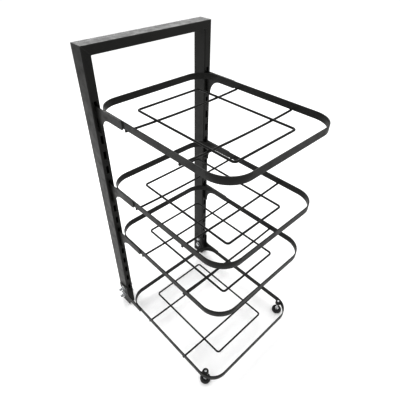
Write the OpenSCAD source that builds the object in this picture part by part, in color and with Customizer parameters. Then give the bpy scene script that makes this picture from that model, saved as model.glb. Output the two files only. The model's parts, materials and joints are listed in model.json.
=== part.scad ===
// Tyre storage rack: an upright frame of rectangular tube, three shelves that
// hook into slots in its posts, and a bolted base shelf on two levelling feet.
// Millimetres. X is the width, -Y the front, +Z up. The origin is on the floor,
// at the middle of the footprint.

/* [Back frame] */
// Width over the outer faces of the two posts
frame_w = 432; // [400:1:480]
// Height of the frame above the floor
frame_h = 1003; // [990:1:1200]
// Tube size seen from the front
tube_w = 25; // [25:1:30]
// Tube size from front to back
tube_d = 50; // [48:1:60]
// Wall thickness of the tube
tube_wall = 2; // [1.5:0.1:2.2]
// Outer corner radius of the tube
tube_r = 3; // [2.5:0.1:4]

/* [Hook slots] */
// Number of slots in each post
slot_count = 16; // [16:1:17]
// Distance from one slot centre to the next
slot_pitch = 50; // [48:1:52]
// Width of a slot
slot_w = 8; // [7:0.5:10]
// Height of a slot
slot_h = 25; // [24:1:28]
// Height of the lowest slot's centre above the top of the base hoop
first_slot_up = 48; // [46:1:54]

/* [Shelves] */
// Slot that carries the lower shelf, counted from the bottom
lower_slot = 7; // [4:1:8]
// Slot that carries the middle shelf
middle_slot = 11; // [10:1:12]
// Slot that carries the upper shelf
upper_slot = 16; // [14:1:16]
// Distance from the front of the posts to the front of a shelf
shelf_reach = 475; // [400:1:478]
// How far a shelf's back bar stands behind the front of the posts
shelf_set_back = 18; // [5:1:30]
// Outer corner radius of a shelf hoop
shelf_r = 67; // [60:1:80]

/* [Base shelf] */
// Height of the top of the base hoop above the floor
base_top = 55; // [52:1:60]
// Distance from the front of the posts to the front of the base hoop
base_reach = 478; // [478:1:520]
// Gap between the base hoop's back bar and the front of the posts
base_gap = 10; // [6:1:20]
// Outer corner radius of the base hoop
base_r = 60; // [55:1:65]

/* [Bars, wires and plates] */
// Height of the flat bar of every hoop
bar_h = 20; // [18:1:22]
// Thickness of the flat bar
bar_t = 3; // [3:0.5:4]
// Diameter of the wires
wire_d = 6; // [5:0.5:6.5]
// How far the middle of a cross wire bows down
wire_bow = 5; // [2:1:8]
// Thickness of the bracket plates
plate_t = 3; // [2.5:0.5:3]

/* [Bolts and feet] */
// Thread diameter of the bolts that hold the base shelf
bolt_d = 10; // [10:1:10]
// Height of the bolts above the top of the base hoop
bolt_up = [28, -9];
// Thread diameter of the levelling screws
screw_d = 8; // [8:1:8]
// Diameter of a foot pad
pad_d = 36; // [30:1:36]
// Height of a foot pad
pad_h = 12; // [11:1:14]

/* [Hidden] */

$fn = 64;
black = [0.13, 0.13, 0.13];
pad_black = [0.07, 0.07, 0.07];
zinc = [0.78, 0.79, 0.80];

// Frame
post_front_y = (base_reach - tube_d) / 2;
post_x = frame_w / 2 - tube_w / 2;
post_mid_y = post_front_y + tube_d / 2;
cut = frame_w;

// Hook slots and the shelves' own height above the floor
first_slot_z = base_top + first_slot_up;
function slot_z(i) = first_slot_z + (i - 1) * slot_pitch;
lower_top = slot_z(lower_slot);
middle_top = slot_z(middle_slot);
upper_top = slot_z(upper_slot);

// Shelf hoops hang between the two rows of slots, inside their bracket plates
shelf_half_w = post_x - plate_t / 2;
base_half_w = frame_w / 2;

// Wire grids: forward distances of the two cross wires and of the loop, from the post fronts
shelf_wires = [130, 331];
shelf_loop = [54, 408];
shelf_loop_half_w = 112.5;
base_wires = [141, 335];
base_loop = [65, 409];
base_loop_half_w = 115;
loop_corner_r = 9;
wire_overhang = 1;

// Hook-on bracket, measured forward from the post's front face and down from the shelf top
hook_gap = 0.3;
arm_reach = 119;
arm_h = 24;
leg_w = 14;
leg_h = 76;
arm_fillet = 45;
hook_t = 4;
hook_drop = 9;
plate_corner_r = 3;

// Base bracket, measured the same way, from the base hoop's top
base_plate_back = -46;
base_plate_front = 5;
base_plate_top_back = 38;
base_plate_top_front = 50;
base_plate_bottom = -base_top + 2;
base_arm_reach = 82;
base_fillet_up = 12;
base_fillet_down = 28;
base_corner_r = 8;
bolt_back = 20;

// Fasteners
bolt_hole_d = bolt_d + 0.6;
washer_d = 20;
washer_t = 2;
washer_hole_d = bolt_d + 0.5;
bolt_flats = 17;
bolt_head_h = 6.4;
bolt_length = 50;
bolt_nut_h = 8.4;
screw_flats = 13;
screw_nut_h = 6.5;
nut_clearance = 0.04;
hex_chamfer = 0.8;
tip_chamfer = 0.8;
bolt_start_x = frame_w / 2 - tube_w - washer_t;

// Levelling feet
lug_r = 10;
lug_h = 13;
lug_up = 2;
lug_angle = 17.6;
fit_clearance = 0.05;
screw_foot_z = 3;
screw_above_lug = 2;
pad_edge = 1.5;
pad_floor_h = 5.7;
pad_recess_r = 10;
nut_gap = 0.3;

base_corner_x = base_half_w - base_r;
base_corner_y = fy(base_reach) + base_r;
lug_ring = base_r - bar_t - lug_r;
foot_x = base_corner_x + lug_ring * cos(lug_angle);
foot_y = base_corner_y - lug_ring * sin(lug_angle);

// Y of a point that lies f in front of the posts
function fy(f) = post_front_y - f;

// ---- shared shapes ----

module rounded_block(x, y, z, r) {
    translate([-x / 2 + r, -y / 2, 0]) cube([x - 2 * r, y, z]);
    translate([-x / 2, -y / 2 + r, 0]) cube([x, y - 2 * r, z]);
    for (sx = [-1, 1], sy = [-1, 1])
        translate([sx * (x / 2 - r), sy * (y / 2 - r), 0]) cylinder(r = r, h = z);
}

// Rectangular tube standing on the floor plane
module tube(length) {
    difference() {
        rounded_block(tube_w, tube_d, length, tube_r);
        translate([0, 0, -1])
            rounded_block(tube_w - 2 * tube_wall, tube_d - 2 * tube_wall, length + 2, tube_r - tube_wall);
    }
}

// Half space above the mitre at the right-hand top corner of the frame
module above_mitre() {
    translate([frame_w / 2, post_mid_y - cut / 2, frame_h])
        rotate([0, -45, 0])
            translate([-cut, 0, 0]) cube([2 * cut, cut, cut]);
}

module for_side(side) {
    if (side == "left") mirror([1, 0, 0]) children();
    else children();
}

// Both sides in one node
module both_sides() {
    for (side = ["left", "right"]) for_side(side) children();
}

// Flat bar on edge, bent into a closed hoop with four round corners
module flat_bar_hoop(half_w, back_y, front_y, r, top) {
    corner_x = half_w - r;
    side_len = back_y - front_y - 2 * r;
    translate([0, 0, top - bar_h]) {
        for (sx = [-1, 1])
            translate([sx > 0 ? half_w - bar_t : -half_w, front_y + r, 0]) cube([bar_t, side_len, bar_h]);
        for (y = [front_y, back_y - bar_t])
            translate([-corner_x, y, 0]) cube([2 * corner_x, bar_t, bar_h]);
        for (c = [[1, back_y - r, 0], [-1, back_y - r, 90], [-1, front_y + r, 180], [1, front_y + r, 270]])
            translate([c[0] * corner_x, c[1], 0]) rotate([0, 0, c[2]])
                rotate_extrude(angle = 90) translate([r - bar_t, 0]) square([bar_t, bar_h]);
    }
}

// Radius of the arc that a cross wire bows to between the hoop's side bars
function bow_r(half_w) = (half_w * half_w + wire_bow * wire_bow) / (2 * wire_bow);

// Height of the arc's centre, for a wire that touches the underside of the hoop
function bow_centre_z(half_w, top) = top - bar_h - wire_d / 2 - wire_bow + bow_r(half_w);

// One wire under the hoop, bowed down in the middle, its ends just past the side bars
module cross_wire(half_w, y, top) {
    r = bow_r(half_w);
    sweep = asin((half_w + wire_overhang) / r);
    translate([0, y, bow_centre_z(half_w, top)]) rotate([90, 0, 0]) rotate([0, 0, 270 - sweep])
        rotate_extrude(angle = 2 * sweep, $fn = 1440) translate([r, 0]) circle(d = wire_d, $fn = 32);
}

// Height of the axis of a wire loop that rests on top of the bowed cross wires
function loop_z(half_w, loop_half_w, top) =
    bow_centre_z(half_w, top) - sqrt(pow(bow_r(half_w) - wire_d, 2) - pow(loop_half_w, 2));

// Closed rectangle of wire
module wire_loop(half_w, back_y, front_y, z) {
    r = loop_corner_r;
    corner_x = half_w - r;
    translate([0, 0, z]) {
        for (sx = [-1, 1]) translate([sx * half_w, front_y + r, 0]) rotate([-90, 0, 0])
            cylinder(d = wire_d, h = back_y - front_y - 2 * r, $fn = 32);
        for (y = [front_y, back_y]) translate([-corner_x, y, 0]) rotate([0, 90, 0])
            cylinder(d = wire_d, h = 2 * corner_x, $fn = 32);
        for (c = [[1, back_y - r, 0], [-1, back_y - r, 90], [-1, front_y + r, 180], [1, front_y + r, 270]])
            translate([c[0] * corner_x, c[1], 0]) rotate([0, 0, c[2]])
                rotate_extrude(angle = 90) translate([r, 0]) circle(d = wire_d, $fn = 32);
    }
}

// Rectangle of a side plate: from f0 to f1 in front of the posts, from z0 to z1
module plate_rect(f0, f1, z0, z1) {
    translate([-f1, z0]) square([f1 - f0, z1 - z0]);
}

// Same rectangle with its two front corners rounded
module plate_tongue(f0, f1, z0, z1, r) {
    plate_rect(f0, f1 - r, z0, z1);
    plate_rect(f0, f1, z0 + r, z1 - r);
    for (z = [z0 + r, z1 - r]) translate([-(f1 - r), z]) circle(r = r);
}

// A profile drawn in the side view, made into a plate whose inner face is at x
module side_plate(x, top) {
    translate([x, post_front_y, top]) rotate([90, 0, 90]) linear_extrude(plate_t) children();
}

// Hexagon with chamfered corners, along +X
module hex_block(h, flats, hole_d) {
    corner_r = flats / 2 / cos(30);
    rotate([0, 90, 0]) difference() {
        intersection() {
            cylinder(r = corner_r, h = h, $fn = 6);
            union() {
                cylinder(r1 = corner_r - hex_chamfer, r2 = corner_r, h = hex_chamfer);
                translate([0, 0, hex_chamfer]) cylinder(r = corner_r, h = h - 2 * hex_chamfer);
                translate([0, 0, h - hex_chamfer])
                    cylinder(r1 = corner_r, r2 = corner_r - hex_chamfer, h = hex_chamfer);
            }
        }
        if (hole_d > 0) translate([0, 0, -1]) cylinder(d = hole_d, h = h + 2);
    }
}

// Plain shank at the thread's outer diameter with a chamfered tip, along +Z
module threaded_rod(d, length) {
    cylinder(d = d, h = length - tip_chamfer);
    translate([0, 0, length - tip_chamfer])
        cylinder(d1 = d, d2 = d - 2 * tip_chamfer, h = tip_chamfer);
}

// Where the base bolts cross the right-hand post
module at_base_bolts() {
    for (up = bolt_up) translate([0, fy(-bolt_back), base_top + up]) children();
}

// ---- back frame ----

module post(side) {
    color(black) for_side(side) difference() {
        translate([post_x, post_mid_y, 0]) tube(frame_h);
        above_mitre();
        for (i = [1 : slot_count])
            translate([post_x - slot_w / 2, post_front_y - 1, slot_z(i) - slot_h / 2])
                cube([slot_w, tube_wall + 2, slot_h]);
        at_base_bolts() rotate([0, 90, 0]) cylinder(d = bolt_hole_d, h = frame_w);
    }
}

module top_rail() {
    color(black) intersection() {
        translate([-frame_w / 2, post_mid_y, frame_h - tube_w / 2]) rotate([0, 90, 0]) tube(frame_w);
        above_mitre();
        mirror([1, 0, 0]) above_mitre();
    }
}

// ---- base shelf ----

module base_hoop() {
    color(black) flat_bar_hoop(base_half_w, fy(base_gap), fy(base_reach), base_r, base_top);
}

module base_cross_wires() {
    color(black) for (f = base_wires) cross_wire(base_half_w, fy(f), base_top);
}

module base_wire_loop() {
    color(black) wire_loop(base_loop_half_w, fy(base_loop[0]), fy(base_loop[1]),
        loop_z(base_half_w, base_loop_half_w, base_top));
}

// Plate on the outer face of a post: an upright with a sloping top, and an arm
// that carries the base hoop, blended into the upright above and below
module base_bracket_profile() {
    upper = [base_plate_front + base_fillet_up, base_fillet_up];
    lower = [base_plate_front + base_fillet_down, -arm_h - base_fillet_down];
    top_rise = base_plate_top_front - base_plate_top_back;
    difference() {
        union() {
            plate_rect(base_plate_back + base_corner_r, base_plate_front,
                base_plate_bottom, base_plate_top_front);
            plate_rect(base_plate_back, 0, base_plate_bottom + base_corner_r, base_plate_top_front);
            translate([-base_plate_back - base_corner_r, base_plate_bottom + base_corner_r])
                circle(r = base_corner_r);
            plate_tongue(0, base_arm_reach, -arm_h, 0, plate_corner_r);
            plate_rect(0, upper[0], -arm_h, upper[1]);
            plate_rect(0, lower[0], lower[1], -arm_h + 1);
        }
        translate([-upper[0], upper[1]]) circle(r = base_fillet_up);
        translate([-lower[0], lower[1]]) circle(r = base_fillet_down);
        translate([-base_plate_front, base_plate_top_front])
            rotate([0, 0, -atan(top_rise / (base_plate_front - base_plate_back))])
                translate([-tube_d, 0]) square([3 * tube_d, tube_d]);
        for (up = bolt_up) translate([bolt_back, up]) circle(d = bolt_hole_d);
    }
}

module base_bracket(side) {
    color(black) for_side(side) side_plate(base_half_w, base_top) base_bracket_profile();
}

// Hexagon bolts with their heads on the inner faces of the posts
module base_bolts() {
    color(zinc) both_sides() at_base_bolts() {
        translate([bolt_start_x - bolt_head_h, 0, 0]) hex_block(bolt_head_h, bolt_flats, 0);
        translate([bolt_start_x, 0, 0]) rotate([0, 90, 0]) threaded_rod(bolt_d, bolt_length);
    }
}

module base_washers() {
    outer_x = base_half_w + plate_t;
    color(zinc) both_sides() at_base_bolts()
        for (x = [bolt_start_x, outer_x]) translate([x, 0, 0]) rotate([0, 90, 0]) difference() {
            cylinder(d = washer_d, h = washer_t);
            translate([0, 0, -1]) cylinder(d = washer_hole_d, h = washer_t + 2);
        }
}

module base_nuts() {
    color(zinc) both_sides() at_base_bolts()
        translate([base_half_w + plate_t + washer_t, 0, 0])
            hex_block(bolt_nut_h, bolt_flats, bolt_d + nut_clearance);
}

// ---- levelling feet ----

// Boss welded into a front corner of the base hoop, with the screw's hole
module foot_lug(side) {
    lug_z = base_top + lug_up - lug_h;
    color(black) for_side(side) difference() {
        intersection() {
            union() {
                translate([foot_x, foot_y, lug_z]) cylinder(r = lug_r, h = lug_h);
                translate([base_corner_x, base_corner_y, lug_z]) rotate([0, 0, -lug_angle])
                    translate([lug_ring, -lug_r, 0]) cube([base_r, 2 * lug_r, lug_h]);
            }
            translate([base_corner_x, base_corner_y, lug_z])
                cylinder(r = base_r - bar_t, h = lug_h, $fn = 128);
        }
        translate([foot_x, foot_y, lug_z - 1]) cylinder(d = screw_d + 2 * fit_clearance, h = lug_h + 2);
    }
}

// Pad with a round recess in its top, and the screw's end in a blind hole
module foot_pad(side) {
    r = pad_d / 2;
    color(pad_black) for_side(side) translate([foot_x, foot_y, 0]) difference() {
        union() {
            cylinder(r1 = r - pad_edge, r2 = r, h = pad_edge);
            translate([0, 0, pad_edge]) cylinder(r = r, h = pad_h - 3 * pad_edge);
            translate([0, 0, pad_h - 2 * pad_edge]) cylinder(r1 = r, r2 = r - 2 * pad_edge, h = 2 * pad_edge);
        }
        translate([0, 0, pad_floor_h]) cylinder(r = pad_recess_r, h = pad_h);
        translate([0, 0, screw_foot_z - nut_gap]) cylinder(d = screw_d + 2 * fit_clearance, h = pad_h);
    }
}

module foot_screw(side) {
    length = base_top + lug_up + screw_above_lug - screw_foot_z;
    color(zinc) for_side(side) translate([foot_x, foot_y, screw_foot_z]) threaded_rod(screw_d, length);
}

// Nut locked on the screw in the pad's recess, to turn it by
module foot_nut(side) {
    color(zinc) for_side(side) translate([foot_x, foot_y, pad_floor_h + nut_gap])
        rotate([0, -90, 0]) hex_block(screw_nut_h, screw_flats, screw_d + nut_clearance);
}

// ---- hook-on shelves ----

module shelf_hoop(top) {
    color(black) flat_bar_hoop(shelf_half_w, fy(-shelf_set_back), fy(shelf_reach), shelf_r, top);
}

module shelf_cross_wires(top) {
    color(black) for (f = shelf_wires) cross_wire(shelf_half_w, fy(f), top);
}

module shelf_wire_loop(top) {
    color(black) wire_loop(shelf_loop_half_w, fy(shelf_loop[0]), fy(shelf_loop[1]),
        loop_z(shelf_half_w, shelf_loop_half_w, top));
}

// Hook through a slot: a neck that sits on the slot's lower end, and a tongue
// that hangs behind the tube wall
module hook_profile(top) {
    wall_back = -tube_wall - hook_gap;
    neck_bottom = top - slot_h / 2;
    plate_rect(wall_back - hook_t, hook_gap + 1, neck_bottom, top);
    plate_rect(wall_back - hook_t, wall_back, neck_bottom - hook_drop, top);
}

module shelf_bracket_profile() {
    fillet = [leg_w + arm_fillet, -arm_h - arm_fillet];
    difference() {
        union() {
            plate_tongue(hook_gap, arm_reach, -arm_h, 0, plate_corner_r);
            plate_rect(hook_gap, leg_w, -leg_h, 0);
            plate_rect(hook_gap, fillet[0], fillet[1], -arm_h);
        }
        translate([-fillet[0], fillet[1]]) circle(r = arm_fillet);
    }
    hook_profile(0);
    hook_profile(-slot_pitch);
}

module shelf_bracket(side, top) {
    color(black) for_side(side) side_plate(shelf_half_w, top) shelf_bracket_profile();
}

// ---- assembly ----

post("left");  // post_left
post("right");  // post_right
top_rail();

base_hoop();
base_cross_wires();
base_wire_loop();
base_bracket("left");  // base_bracket_left
base_bracket("right");  // base_bracket_right
base_bolts();
base_washers();
base_nuts();
foot_lug("left");  // foot_lug_left
foot_lug("right");  // foot_lug_right

foot_pad("left");  // foot_pad_left
foot_screw("left");  // foot_screw_left
foot_nut("left");  // foot_nut_left
foot_pad("right");  // foot_pad_right
foot_screw("right");  // foot_screw_right
foot_nut("right");  // foot_nut_right

shelf_hoop(lower_top);  // lower_hoop
shelf_cross_wires(lower_top);  // lower_cross_wires
shelf_wire_loop(lower_top);  // lower_wire_loop
shelf_bracket("left", lower_top);  // lower_bracket_left
shelf_bracket("right", lower_top);  // lower_bracket_right

shelf_hoop(middle_top);  // middle_hoop
shelf_cross_wires(middle_top);  // middle_cross_wires
shelf_wire_loop(middle_top);  // middle_wire_loop
shelf_bracket("left", middle_top);  // middle_bracket_left
shelf_bracket("right", middle_top);  // middle_bracket_right

shelf_hoop(upper_top);  // upper_hoop
shelf_cross_wires(upper_top);  // upper_cross_wires
shelf_wire_loop(upper_top);  // upper_wire_loop
shelf_bracket("left", upper_top);  // upper_bracket_left
shelf_bracket("right", upper_top);  // upper_bracket_right
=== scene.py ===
"""Visual model of the tyre storage rack: materials, threads, weld beads and a studio round the CAD frame."""

import json
import math

import bmesh
import bpy
from mathutils import Matrix, Vector, noise


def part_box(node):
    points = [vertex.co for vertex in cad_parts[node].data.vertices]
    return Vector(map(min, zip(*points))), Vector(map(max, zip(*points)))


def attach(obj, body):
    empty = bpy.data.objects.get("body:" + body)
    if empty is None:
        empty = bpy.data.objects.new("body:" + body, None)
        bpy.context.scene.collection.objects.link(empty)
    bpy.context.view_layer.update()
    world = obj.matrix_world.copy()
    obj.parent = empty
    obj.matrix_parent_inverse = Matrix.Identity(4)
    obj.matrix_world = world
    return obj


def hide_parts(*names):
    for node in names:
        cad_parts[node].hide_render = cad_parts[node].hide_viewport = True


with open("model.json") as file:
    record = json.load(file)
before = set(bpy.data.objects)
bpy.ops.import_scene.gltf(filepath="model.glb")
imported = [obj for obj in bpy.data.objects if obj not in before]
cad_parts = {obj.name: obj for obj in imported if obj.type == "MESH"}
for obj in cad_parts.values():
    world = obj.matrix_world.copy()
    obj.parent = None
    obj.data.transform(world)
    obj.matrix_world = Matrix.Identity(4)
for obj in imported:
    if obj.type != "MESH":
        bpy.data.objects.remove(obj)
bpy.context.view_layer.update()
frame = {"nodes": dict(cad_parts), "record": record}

MM = 0.001
SHELVES = ("lower", "middle", "upper")
SIDES = {"left": -1, "right": 1}


# ---- places, read from the CAD frame ----

post_lo, post_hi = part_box("post_right")
rail_lo, rail_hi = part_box("top_rail")
POST_IN = post_lo.x
POST_OUT = post_hi.x
POST_FRONT = post_lo.y
POST_BACK = post_hi.y


# ---- node trees ----

def node_material(name):
    material = bpy.data.materials.new(name)
    material.use_nodes = True
    tree = material.node_tree
    return material, tree, tree.nodes["Principled BSDF"]


def add(tree, kind, **values):
    """A node with its properties and its unlinked inputs set."""
    made = tree.nodes.new(kind)
    for key, value in values.items():
        if hasattr(made, key):
            setattr(made, key, value)
        else:
            made.inputs[key].default_value = value
    return made


def coordinates(tree, scale=(1, 1, 1)):
    """Object-space position, stretched by scale."""
    position = tree.nodes.new("ShaderNodeTexCoord")
    mapping = add(tree, "ShaderNodeMapping", Scale=scale)
    tree.links.new(position.outputs["Object"], mapping.inputs["Vector"])
    return mapping.outputs["Vector"]


def noise_value(tree, vector, scale, detail, roughness=0.55):
    made = add(tree, "ShaderNodeTexNoise", Scale=scale, Detail=detail, Roughness=roughness)
    tree.links.new(vector, made.inputs["Vector"])
    return made.outputs["Fac"]


def ramp(tree, value, stops):
    """Colour ramp; stops are (position, (r, g, b)) or (position, grey)."""
    made = tree.nodes.new("ShaderNodeValToRGB")
    elements = made.color_ramp.elements
    while len(elements) < len(stops):
        elements.new(0.5)
    for element, (place, colour) in zip(elements, stops):
        rgb = colour if isinstance(colour, tuple) else (colour,) * 3
        element.position = place
        element.color = (*rgb, 1.0)
    tree.links.new(value, made.inputs["Fac"])
    return made.outputs["Color"]


# Places of the factor, the two colours and the result among the sockets of a Mix node
MIX_FACTOR = 0
MIX_UNDER = 6
MIX_OVER = 7
MIX_RESULT = 2


def lay_over(tree, factor, under, colour):
    """A plain colour laid over another by a factor."""
    made = add(tree, "ShaderNodeMix", data_type="RGBA")
    tree.links.new(factor, made.inputs[MIX_FACTOR])
    tree.links.new(under, made.inputs[MIX_UNDER])
    made.inputs[MIX_OVER].default_value = (*colour, 1.0)
    return made.outputs[MIX_RESULT]


def scaled(tree, value, share):
    made = add(tree, "ShaderNodeMath", operation="MULTIPLY")
    tree.links.new(value, made.inputs[0])
    made.inputs[1].default_value = share
    return made.outputs[0]


def bump(tree, shader, layers):
    """Stacks height maps on the shader's normal; layers are (height socket, distance, strength)."""
    normal = None
    for height, distance, strength in layers:
        made = add(tree, "ShaderNodeBump", Distance=distance, Strength=strength)
        tree.links.new(height, made.inputs["Height"])
        if normal is not None:
            tree.links.new(normal, made.inputs["Normal"])
        normal = made.outputs["Normal"]
    tree.links.new(normal, shader.inputs["Normal"])


# Pointiness where the rub begins, and where it is full
RUB_START = 0.53
RUB_FULL = 0.62


def edge_mask(tree):
    """1 on convex edges, 0 on flats."""
    geometry = tree.nodes.new("ShaderNodeNewGeometry")
    return ramp(tree, geometry.outputs["Pointiness"], [(RUB_START, 0.0), (RUB_FULL, 1.0)])


# ---- materials ----

COAT_DEEP = (0.0095, 0.0095, 0.0088)
COAT_PALE = (0.0180, 0.0177, 0.0160)
COAT_DUST = (0.034, 0.033, 0.030)
COAT_RUBBED = (0.055, 0.055, 0.053)


def powder_coat(name, tone=1.0, rub=0.5):
    """Satin black powder coat: fine orange peel, patchy sheen, dust, and a paler rub on the edges."""
    material, tree, shader = node_material(name)
    place = coordinates(tree)
    cloud = noise_value(tree, place, scale=9.0, detail=5.0, roughness=0.6)
    patch = noise_value(tree, place, scale=42.0, detail=4.0, roughness=0.65)
    grain = noise_value(tree, place, scale=900.0, detail=2.0)
    speck = noise_value(tree, place, scale=260.0, detail=3.0, roughness=0.7)
    deep, pale = (tuple(tone * part for part in colour) for colour in (COAT_DEEP, COAT_PALE))
    base = ramp(tree, cloud, [(0.3, deep), (0.7, pale)])
    dust = ramp(tree, speck, [(0.60, 0.0), (0.76, 0.45)])
    dusty = lay_over(tree, dust, base, COAT_DUST)
    rubbed = lay_over(tree, scaled(tree, edge_mask(tree), rub), dusty, COAT_RUBBED)
    tree.links.new(rubbed, shader.inputs["Base Color"])
    rough = ramp(tree, patch, [(0.30, 0.28), (0.70, 0.50)])
    tree.links.new(rough, shader.inputs["Roughness"])
    shader.inputs["Specular IOR Level"].default_value = 0.30
    peel = add(tree, "ShaderNodeTexVoronoi", Scale=700.0, feature="SMOOTH_F1")
    tree.links.new(place, peel.inputs["Vector"])
    bump(tree, shader, [(patch, 0.6 * MM, 0.14), (peel.outputs["Distance"], 0.12 * MM, 0.5),
                        (grain, 0.05 * MM, 0.3)])
    return material


def zinc_plate(name, low, middle, high):
    """Zinc plating with a soft mottle between three tints, and fine drawn lines."""
    material, tree, shader = node_material(name)
    mottle = noise_value(tree, coordinates(tree), scale=160.0, detail=5.0, roughness=0.65)
    lines = noise_value(tree, coordinates(tree, (1, 1, 12)), scale=900.0, detail=2.0)
    tint = ramp(tree, mottle, [(0.3, low), (0.55, middle), (0.8, high)])
    tree.links.new(tint, shader.inputs["Base Color"])
    rough = ramp(tree, mottle, [(0.3, 0.20), (0.75, 0.36)])
    tree.links.new(rough, shader.inputs["Roughness"])
    shader.inputs["Metallic"].default_value = 1.0
    bump(tree, shader, [(lines, 0.04 * MM, 0.3), (mottle, 0.1 * MM, 0.2)])
    return material


def pad_plastic(name):
    """Matte black moulded plastic with a fine spark-eroded grain and scuffs."""
    material, tree, shader = node_material(name)
    place = coordinates(tree)
    cloud = noise_value(tree, place, scale=60.0, detail=4.0)
    grain = noise_value(tree, place, scale=1800.0, detail=2.0)
    tint = ramp(tree, cloud, [(0.35, (0.012, 0.012, 0.013)), (0.75, (0.030, 0.030, 0.030))])
    tree.links.new(tint, shader.inputs["Base Color"])
    rough = ramp(tree, cloud, [(0.3, 0.48), (0.7, 0.66)])
    tree.links.new(rough, shader.inputs["Roughness"])
    bump(tree, shader, [(grain, 0.06 * MM, 0.4)])
    return material


def floor_paper(name):
    """Matt white studio paper."""
    material, tree, shader = node_material(name)
    fibre = noise_value(tree, coordinates(tree), scale=400.0, detail=3.0)
    tint = ramp(tree, fibre, [(0.3, 0.955), (0.7, 0.97)])
    tree.links.new(tint, shader.inputs["Base Color"])
    shader.inputs["Roughness"].default_value = 0.9
    shader.inputs["Specular IOR Level"].default_value = 0.1
    return material


COAT = powder_coat("satin_black_coat")
# A wire is convex all round, so the rub would cover it
WIRE_COAT = powder_coat("satin_black_coat_on_wire", tone=0.85, rub=0.08)
WELD_COAT = powder_coat("black_coat_on_weld", tone=1.15)
ZINC = zinc_plate("zinc_plate",
                  low=(0.24, 0.25, 0.26), middle=(0.62, 0.63, 0.64), high=(0.44, 0.43, 0.405))
# A darker copy of the zinc for the thread ends outside the posts: painted shade, standing in for the shade in
# the thread grooves and the dark reflections at their edges.
THREAD_ZINC_PAINTED_SHADE = zinc_plate("zinc_plate_with_painted_shade_on_threads",
                         low=(0.20, 0.205, 0.21), middle=(0.54, 0.545, 0.55), high=(0.38, 0.375, 0.36))
# A paler copy of the zinc for the nuts and washers: painted highlight, brighter than the bolts' own zinc.
ZINC_PAINTED_HIGHLIGHT = zinc_plate("zinc_plate_with_painted_highlight",
                         low=(0.62, 0.635, 0.65), middle=(0.86, 0.87, 0.88), high=(0.78, 0.765, 0.72))
PAD = pad_plastic("black_pad_plastic")
MATERIALS = {"black_coat": COAT, "zinc": ZINC, "pad_plastic": PAD}


def dress(piece, material):
    piece.data.materials.clear()
    piece.data.materials.append(material)


# ---- CAD nodes: materials and soft edges ----

SLOTS = {row["node"]: row["material_slot"] for row in frame["record"]["subparts"]}
# Edge round in millimetres, by the first of these words that is in the node's name
EDGE_RADIUS = {"post": 0.35, "rail": 0.35, "hoop": 0.45, "bracket": 0.35, "wires": 0.5, "lug": 0.4,
               "washers": 0.18, "nut": 0.2}
EDGE_ANGLE = math.radians(50)
MERGE_DISTANCE = 0.002 * MM


def node_coat(name):
    """The material of a CAD node: its slot's, or a variant for the wires, nuts and washers; the nuts and
    washers get paler zinc, a painted highlight.
    """
    if "wire" in name:
        return WIRE_COAT
    if "nut" in name or "washer" in name:
        return ZINC_PAINTED_HIGHLIGHT
    return MATERIALS[SLOTS[name]]


def soften(piece, radius):
    """Small round on every sharp edge."""
    weld = piece.modifiers.new("join", "WELD")
    weld.merge_threshold = MERGE_DISTANCE
    bevel = piece.modifiers.new("edge", "BEVEL")
    bevel.width = radius
    bevel.segments = 2
    bevel.limit_method = "ANGLE"
    bevel.angle_limit = EDGE_ANGLE


for name, piece in frame["nodes"].items():
    dress(piece, node_coat(name))
    for word, radius in EDGE_RADIUS.items():
        if word in name:
            soften(piece, radius * MM)
            break


# ---- mesh helpers ----

SHARP_ANGLE = math.radians(45)


def new_piece(name, builder, material, body):
    """A mesh made by builder(bmesh), in place, riding on a body."""
    mesh = bpy.data.meshes.new(name)
    work = bmesh.new()
    builder(work)
    bmesh.ops.recalc_face_normals(work, faces=work.faces)
    work.to_mesh(mesh)
    work.free()
    piece = bpy.data.objects.new(name, mesh)
    bpy.context.scene.collection.objects.link(piece)
    dress(piece, material)
    for polygon in mesh.polygons:
        polygon.use_smooth = True
    mesh.set_sharp_from_angle(angle=SHARP_ANGLE)
    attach(piece, body)
    return piece


def ring_of(work, place, sides, outline):
    """A ring of vertices round a matrix's Z axis; outline(turn) gives each one's radius and height."""
    ring = []
    for i in range(sides):
        turn = 2 * math.pi * i / sides
        radius, height = outline(turn)
        local = Vector((radius * math.cos(turn), radius * math.sin(turn), height))
        ring.append(work.verts.new(place @ local))
    return ring


def bridge(work, rings):
    """Skins a list of equal vertex rings and closes both ends."""
    count = len(rings[0])
    for a, b in zip(rings, rings[1:]):
        for i in range(count):
            j = (i + 1) % count
            work.faces.new((a[i], a[j], b[j], b[i]))
    work.faces.new(reversed(rings[0]))
    work.faces.new(rings[-1])


BEAD_SIDES = 10
BEAD_STEP = 0.55 * MM
BEAD_LEAST_STEPS = 6
# Length of a bead's tapered ends, in radii, and the square of the narrowest share there
BEAD_TAPER = 1.4
BEAD_TIP = 0.02
# Spacing and height of the overlapping scales, and the slower unevenness of the width
RIPPLE_SPACING = 1.7 * MM
RIPPLE_SHARE = 0.10
UNEVEN_SHARE = 0.12
UNEVEN_SCALE = 260
SEED_STEP = 7.3


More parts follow.
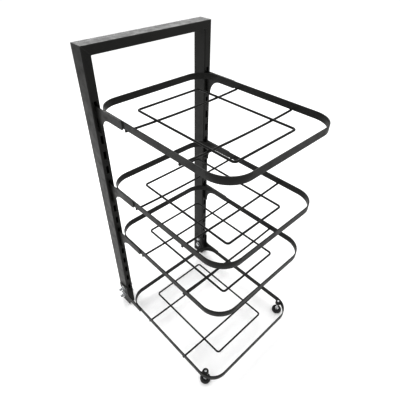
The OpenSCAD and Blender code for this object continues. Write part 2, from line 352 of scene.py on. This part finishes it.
def weld_bead(work, start, end, radius, seed):
    """A rippled bead between two points: overlapping scales, tapered ends, uneven width."""
    start, end = Vector(start), Vector(end)
    total = (end - start).length
    forward = (end - start).normalized()
    across = forward.orthogonal().normalized()
    turned = Matrix((across, forward.cross(across), forward)).transposed().to_4x4()
    steps = max(BEAD_LEAST_STEPS, int(total / BEAD_STEP))
    rings = []
    for k in range(steps + 1):
        along = total * k / steps
        from_end = min(1.0, min(along, total - along) / (BEAD_TAPER * radius))
        taper = math.sqrt(max(BEAD_TIP, 1 - (1 - from_end) ** 2))
        ripple = 1 + RIPPLE_SHARE * abs(math.sin(math.pi * along / RIPPLE_SPACING + seed))
        uneven = 1 + UNEVEN_SHARE * noise.noise(Vector((along * UNEVEN_SCALE, seed * SEED_STEP, 0)))
        size = radius * taper * ripple * uneven
        place = Matrix.Translation(start.lerp(end, k / steps)) @ turned
        rings.append(ring_of(work, place, BEAD_SIDES, lambda turn: (size, 0.0)))
    bridge(work, rings)


SPOT_BULGE = 0.14
SPOT_SCALE = 1.7


def weld_spot(work, centre, size, seed):
    """A flattened spot of melted metal where two wires meet; size is its three half-lengths."""
    made = bmesh.ops.create_icosphere(work, subdivisions=3, radius=1.0)
    for vertex in made["verts"]:
        bulge = 1 + SPOT_BULGE * noise.noise(vertex.co * SPOT_SCALE + Vector((seed, 0, 0)))
        vertex.co = Vector(centre) + Vector([vertex.co[i] * size[i] * bulge for i in range(3)])


THREAD_SIDES = 36
STEPS_PER_PITCH = 8
# Depth of a thread in pitches, and the share of the pitch that its crest and its root are flat
THREAD_DEPTH = 0.58
THREAD_FLAT = 0.12
TIP_CHAMFER = 1.0 * MM


def thread_radius(turn, z, major, pitch):
    """Radius of a right-hand V thread with narrow crests and roots."""
    phase = (z / pitch - turn / (2 * math.pi)) % 1.0
    valley = 1 - abs(2 * phase - 1)
    depth = min(1.0, max(0.0, (valley - THREAD_FLAT) / (1 - 2 * THREAD_FLAT)))
    return major - THREAD_DEPTH * pitch * depth


def threaded_rod(work, place, major, pitch, start, end, thread_start):
    """A rod from start to end along a matrix's Z axis: plain, then threaded, with a chamfered tip."""
    count = int((end - start) / pitch * STEPS_PER_PITCH)
    rings = []
    for k in range(count + 1):
        z = start + (end - start) * k / count
        widest = major - max(0.0, TIP_CHAMFER - (end - z))

        def outline(turn):
            cut = major if z < thread_start else thread_radius(turn, z, major, pitch)
            return min(cut, widest), z
        rings.append(ring_of(work, place, THREAD_SIDES, outline))
    bridge(work, rings)


HEAD_SIDES = 96
# The flat top's diameter as a share of the flats, the chamfer round it, and the dish in it
HEAD_RIM = 0.96
HEAD_CHAMFER = math.radians(30)
HEAD_DISH = 0.25 * MM
WASHER_FACE_T = 0.35 * MM


def hex_radius(turn, flats):
    """Distance from the middle to the side of a hexagon, across-flats given."""
    step = math.pi / 3
    return flats / 2 / math.cos((turn % step) - step / 2)


def bolt_head(work, place, flats, height):
    """Chamfered hexagon head, from its washer face at z = 0 down to its dished top at z = -height."""
    rim = flats / 2 * HEAD_RIM

    def profile(turn):
        full = hex_radius(turn, flats)
        chamfer = max(0.0, full - rim) * math.tan(HEAD_CHAMFER)
        return [(0.02 * rim, HEAD_DISH - height), (0.6 * rim, 0.4 * HEAD_DISH - height), (rim, -height),
                (full, chamfer - height), (full, -WASHER_FACE_T), (rim, 0.0)]
    rows = len(profile(0.0))
    bridge(work, [ring_of(work, place, HEAD_SIDES, lambda turn: profile(turn)[row]) for row in range(rows)])


# ---- bolts and levelling screws, with cut threads ----

BOLT_R = 5.0 * MM
BOLT_PITCH = 1.5 * MM
SCREW_R = 4.0 * MM
SCREW_PITCH = 1.25 * MM
# Where the thread starts, from the bolt head's seat and from the screw's lower end
BOLT_PLAIN = 22 * MM
SCREW_PLAIN = 5 * MM
WASHER_T = 2.0 * MM
HEAD_H = 6.4 * MM
HEX_FLATS = 17.0 * MM
# How far a shank starts inside its head
SHANK_SINK = 0.5 * MM
# Degrees that the heads are turned: the upper one, the lower one more, and both more on the left post
HEAD_TURN = 17
HEAD_TURN_STEP = 23
LEFT_TURN = 11
bolts_lo, bolts_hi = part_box("base_bolts")
BOLT_Y = (bolts_lo.y + bolts_hi.y) / 2
BOLT_LEVELS = (bolts_hi.z - HEX_FLATS / 2, bolts_lo.z + HEX_FLATS / 2)


def bolt_place(side, z):
    """Matrix that puts local +Z along the bolt, outwards, with the head's seat at z = 0."""
    out = SIDES[side]
    seat = Vector((out * (POST_IN - WASHER_T), BOLT_Y, z))
    return Matrix.Translation(seat) @ Matrix.Rotation(out * math.pi / 2, 4, "Y")


def build_bolts(work):
    length = bolts_hi.x - POST_IN + WASHER_T
    for side in SIDES:
        for number, z in enumerate(BOLT_LEVELS):
            degrees = HEAD_TURN + HEAD_TURN_STEP * number + (LEFT_TURN if side == "left" else 0)
            place = bolt_place(side, z) @ Matrix.Rotation(math.radians(degrees), 4, "Z")
            bolt_head(work, place, HEX_FLATS, HEAD_H)
            threaded_rod(work, place, BOLT_R, BOLT_PITCH, -SHANK_SINK, length, BOLT_PLAIN)


bolts = new_piece("bolts_with_threads", build_bolts, ZINC, "frame")
# Faces beyond the posts' outer faces, the thread ends, take the darker zinc: painted shade.
bolts.data.materials.append(THREAD_ZINC_PAINTED_SHADE)
for face in bolts.data.polygons:
    if abs(face.center.x) > POST_OUT:
        face.material_index = 1
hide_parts("base_bolts")


def screw_builder(side):
    lo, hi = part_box(f"foot_screw_{side}")
    centre = (lo + hi) / 2
    place = Matrix.Translation((centre.x, centre.y, lo.z))
    return lambda work: threaded_rod(work, place, SCREW_R, SCREW_PITCH, 0.0, hi.z - lo.z, SCREW_PLAIN)


for side in SIDES:
    screw = new_piece(f"levelling_screw_{side}", screw_builder(side), ZINC, f"screw_{side}")
    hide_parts(f"foot_screw_{side}")


# ---- foot pads ----

PAD_SIDES = 72
PAD_HOLE_R = SCREW_R + 0.05 * MM
PAD_HOLE_FLOOR = 2.7 * MM
PAD_FLOOR = 5.7 * MM
PAD_RECESS = 10.0 * MM
PAD_RIBS = 18
PAD_RIB_DEPTH = 0.35 * MM


def pad_builder(side):
    """Moulded pad: bevelled tread, ribbed side, rounded rim, and a recess for the nut with a tapered wall."""
    lo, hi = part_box(f"foot_pad_{side}")
    centre = (lo + hi) / 2
    place = Matrix.Translation((centre.x, centre.y, lo.z))
    outer = (hi.x - lo.x) / 2
    top = hi.z - lo.z
    hole = [(PAD_HOLE_R, PAD_HOLE_FLOOR), (PAD_HOLE_R, PAD_FLOOR)]
    recess = [(PAD_RECESS - 0.8 * MM, PAD_FLOOR), (PAD_RECESS, PAD_FLOOR + 0.8 * MM),
              (PAD_RECESS + 0.7 * MM, top - 0.9 * MM), (PAD_RECESS + 1.4 * MM, top - 0.2 * MM),
              (PAD_RECESS + 2.6 * MM, top)]
    rim = [(outer - 3.2 * MM, top), (outer - 1.8 * MM, top - 0.6 * MM), (outer - 0.8 * MM, top - 1.8 * MM),
           (outer - 0.15 * MM, top - 3.4 * MM)]
    side_wall = [(outer, top - 4.4 * MM), (outer, 2.4 * MM)]
    tread = [(outer - 0.3 * MM, 1.4 * MM), (outer - 0.9 * MM, 0.4 * MM), (outer - 1.6 * MM, 0.0),
             (1 * MM, 0.0)]

    def ribbed(radius, height, turn):
        rib = PAD_RIB_DEPTH * max(0.0, math.cos(PAD_RIBS * turn)) if radius == outer else 0.0
        return radius - rib, height

    def build(work):
        bridge(work, [ring_of(work, place, PAD_SIDES, lambda turn: ribbed(radius, height, turn))
                      for radius, height in hole + recess + rim + side_wall + tread])
    return build


for side in SIDES:
    pad = new_piece(f"moulded_pad_{side}", pad_builder(side), PAD, f"foot_{side}")
    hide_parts(f"foot_pad_{side}")


# ---- weld beads ----

WIRE_R = 3.0 * MM
BAR_T = 3 * MM
# Beads across the front end of a bracket's arm, and for a short way along its lower edge.
# An upright bead's gaps are to the hoop's lower and upper edge.
ARM_BEAD_R = 2.3 * MM
ARM_BEAD_SINK = 0.4 * MM
ARM_BEAD_GAPS = (1.0 * MM, 1.5 * MM)
UNDER_BEAD_R = 1.3 * MM
UNDER_BEAD_FROM = 6 * MM
UNDER_BEAD_TO = 30 * MM
# Seams that close a hoop and a wire loop, both at the back
HOOP_SEAM_X = 60 * MM
HOOP_SEAM_BEAD_R = 0.8 * MM
HOOP_SEAM_GAPS = (0.6 * MM, 0.6 * MM)
LOOP_SEAM_X = -30 * MM
LOOP_SEAM_SPOT = (3.2 * MM, 2.9 * MM, 2.9 * MM)
# Spots at the wires' ends under the hoop, and where the wires cross
WIRE_END_SPOT = (1.7 * MM, 1.6 * MM, 1.2 * MM)
WIRE_END_SPREAD = 0.9 * WIRE_R
WIRE_END_DROP = 0.5 * MM
CROSSING_SPOT = (2.1 * MM, 2.1 * MM, 1.7 * MM)


def hoop_weld_builder(prefix):
    """Beads at a hoop's bracket arms, wire ends, wire crossings and seams."""
    hoop_lo, hoop_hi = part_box(f"{prefix}_hoop")
    wires_lo, wires_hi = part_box(f"{prefix}_cross_wires")
    loop_lo, loop_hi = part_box(f"{prefix}_wire_loop")
    arm_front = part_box(f"{prefix}_bracket_right")[0].y
    wire_ys = (wires_hi.y - WIRE_R, wires_lo.y + WIRE_R)
    seed = len(prefix)

    def upright(work, x, y, gaps, radius, bead_seed):
        low_gap, high_gap = gaps
        weld_bead(work, (x, y, hoop_lo.z + low_gap), (x, y, hoop_hi.z - high_gap), radius, bead_seed)

    def build(work):
        for out in (-1, 1):
            face = out * hoop_hi.x
            upright(work, face, arm_front - ARM_BEAD_SINK, ARM_BEAD_GAPS, ARM_BEAD_R, seed)
            weld_bead(work, (face, arm_front + UNDER_BEAD_FROM, hoop_lo.z),
                      (face, arm_front + UNDER_BEAD_TO, hoop_lo.z), UNDER_BEAD_R, seed + 1)
            bar_middle = out * (hoop_hi.x - BAR_T / 2)
            crossing = out * (loop_hi.x - WIRE_R)
            for k, y in enumerate(wire_ys):
                for way in (-1, 1):
                    weld_spot(work, (bar_middle, y + way * WIRE_END_SPREAD, hoop_lo.z - WIRE_END_DROP),
                              WIRE_END_SPOT, seed + k)
                weld_spot(work, (crossing, y, loop_lo.z), CROSSING_SPOT, seed + k + 3)
        for y in (hoop_hi.y, hoop_hi.y - BAR_T):
            upright(work, HOOP_SEAM_X, y, HOOP_SEAM_GAPS, HOOP_SEAM_BEAD_R, seed + 5)
        weld_spot(work, (LOOP_SEAM_X, loop_hi.y - WIRE_R, (loop_lo.z + loop_hi.z) / 2),
                  LOOP_SEAM_SPOT, seed + 9)
    return build


for shelf in SHELVES:
    new_piece(f"{shelf}_shelf_welds", hoop_weld_builder(shelf), WELD_COAT, f"{shelf}_shelf")
new_piece("base_shelf_welds", hoop_weld_builder("base"), WELD_COAT, "frame")


# Beads inside the two corners under the rail, and over the mitres on the front
CORNER_BEAD_R = 3.4 * MM
CORNER_BEAD_GAPS = (3.5 * MM, 4.0 * MM)
MITRE_BEAD_R = 1.5 * MM
MITRE_BEAD_SINK = 0.9 * MM
MITRE_BEAD_SHARE = 0.93
# Radius of the base hoop's front bends, and where a foot boss's two beads lie from a bend's centre.
# Their ends are a little below the boss's lower end and the hoop's upper edge.
BASE_BEND = 60 * MM
LUG_BEAD_REACH = 56.6 * MM
LUG_BEAD_DEGREES = (-5.5, -29.5)
LUG_BEAD_R = 1.5 * MM
LUG_BEAD_DROP = 1.0 * MM


def build_frame_welds(work):
    """Beads in and across the frame's two mitred corners, and beside the foot bosses."""
    under_rail = rail_lo.z
    front_gap, back_gap = CORNER_BEAD_GAPS
    for out in (-1, 1):
        inner = out * POST_IN
        weld_bead(work, (inner, POST_FRONT + front_gap, under_rail),
                  (inner, POST_BACK - back_gap, under_rail), CORNER_BEAD_R, 2)
        seam_start = Vector((inner, POST_FRONT + MITRE_BEAD_SINK, under_rail))
        seam_end = Vector((out * POST_OUT, POST_FRONT + MITRE_BEAD_SINK, rail_hi.z))
        weld_bead(work, seam_start, seam_start.lerp(seam_end, MITRE_BEAD_SHARE), MITRE_BEAD_R, 4)
    hoop_lo, hoop_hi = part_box("base_hoop")
    for side, out in SIDES.items():
        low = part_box(f"foot_lug_{side}")[0].z - LUG_BEAD_DROP
        for degrees in LUG_BEAD_DEGREES:
            angle = math.radians(degrees)
            x = out * (hoop_hi.x - BASE_BEND + LUG_BEAD_REACH * math.cos(angle))
            y = hoop_lo.y + BASE_BEND + LUG_BEAD_REACH * math.sin(angle)
            weld_bead(work, (x, y, low), (x, y, hoop_hi.z - LUG_BEAD_DROP), LUG_BEAD_R, degrees)


new_piece("frame_welds", build_frame_welds, WELD_COAT, "frame")


# ---- studio: floor, lights and camera ----

FLOOR_SIZE = 30
FLOOR_DROP = 0.5 * MM
WORLD_STRENGTH = 1.10
VIEW_GAMMA = 0.75
EYE = Vector((-0.6040, -0.6001, 1.2402))
YAW = math.radians(43.84)
TILT = math.radians(38.90)
ROLL = math.radians(0.74)
SENSOR = 36
LENS = 31.55


def make_floor():
    bpy.ops.mesh.primitive_grid_add(x_subdivisions=2, y_subdivisions=2, size=FLOOR_SIZE,
                                    location=(0, 0, -FLOOR_DROP))
    floor = bpy.context.object
    floor.name = "studio_floor"
    dress(floor, floor_paper("studio_paper"))


def area_light(name, place, aim, size, power):
    data = bpy.data.lights.new(name, "AREA")
    data.shape = "RECTANGLE"
    data.size, data.size_y = size
    data.energy = power
    light = bpy.data.objects.new(name, data)
    bpy.context.scene.collection.objects.link(light)
    light.location = place
    light.rotation_mode = "QUATERNION"
    light.rotation_quaternion = (Vector(aim) - Vector(place)).to_track_quat("-Z", "Y")


def make_world():
    world = bpy.data.worlds.new("studio")
    bpy.context.scene.world = world
    world.use_nodes = True
    background = world.node_tree.nodes["Background"]
    background.inputs["Color"].default_value = (1, 1, 1, 1)
    background.inputs["Strength"].default_value = WORLD_STRENGTH


def make_camera():
    """Eye high up, out beyond the front left corner, looking down at the rack."""
    forward = Vector((math.sin(YAW) * math.cos(TILT), math.cos(YAW) * math.cos(TILT), -math.sin(TILT)))
    level = Vector((math.cos(YAW), -math.sin(YAW), 0))
    above = level.cross(forward)
    right = math.cos(ROLL) * level + math.sin(ROLL) * above
    up = math.cos(ROLL) * above - math.sin(ROLL) * level
    data = bpy.data.cameras.new("camera")
    data.sensor_width = SENSOR
    data.lens = LENS
    data.clip_start = 0.01
    data.clip_end = 100
    camera = bpy.data.objects.new("camera", data)
    bpy.context.scene.collection.objects.link(camera)
    axes = Matrix((right, up, -forward)).transposed()
    camera.matrix_world = Matrix.Translation(EYE) @ axes.to_4x4()
    bpy.context.scene.camera = camera


make_floor()
make_world()
area_light("back_right", place=(1.5, 1.7, 2.15), aim=(0, 0.2, 0.95), size=(2.4, 1.3), power=28)
area_light("floor_wash_left", place=(-1.05, 1.15, 0.8), aim=(-1.05, 1.15, 0), size=(1.7, 1.7), power=11)
make_camera()
bpy.context.scene.view_settings.view_transform = "Standard"
bpy.context.scene.view_settings.gamma = VIEW_GAMMA
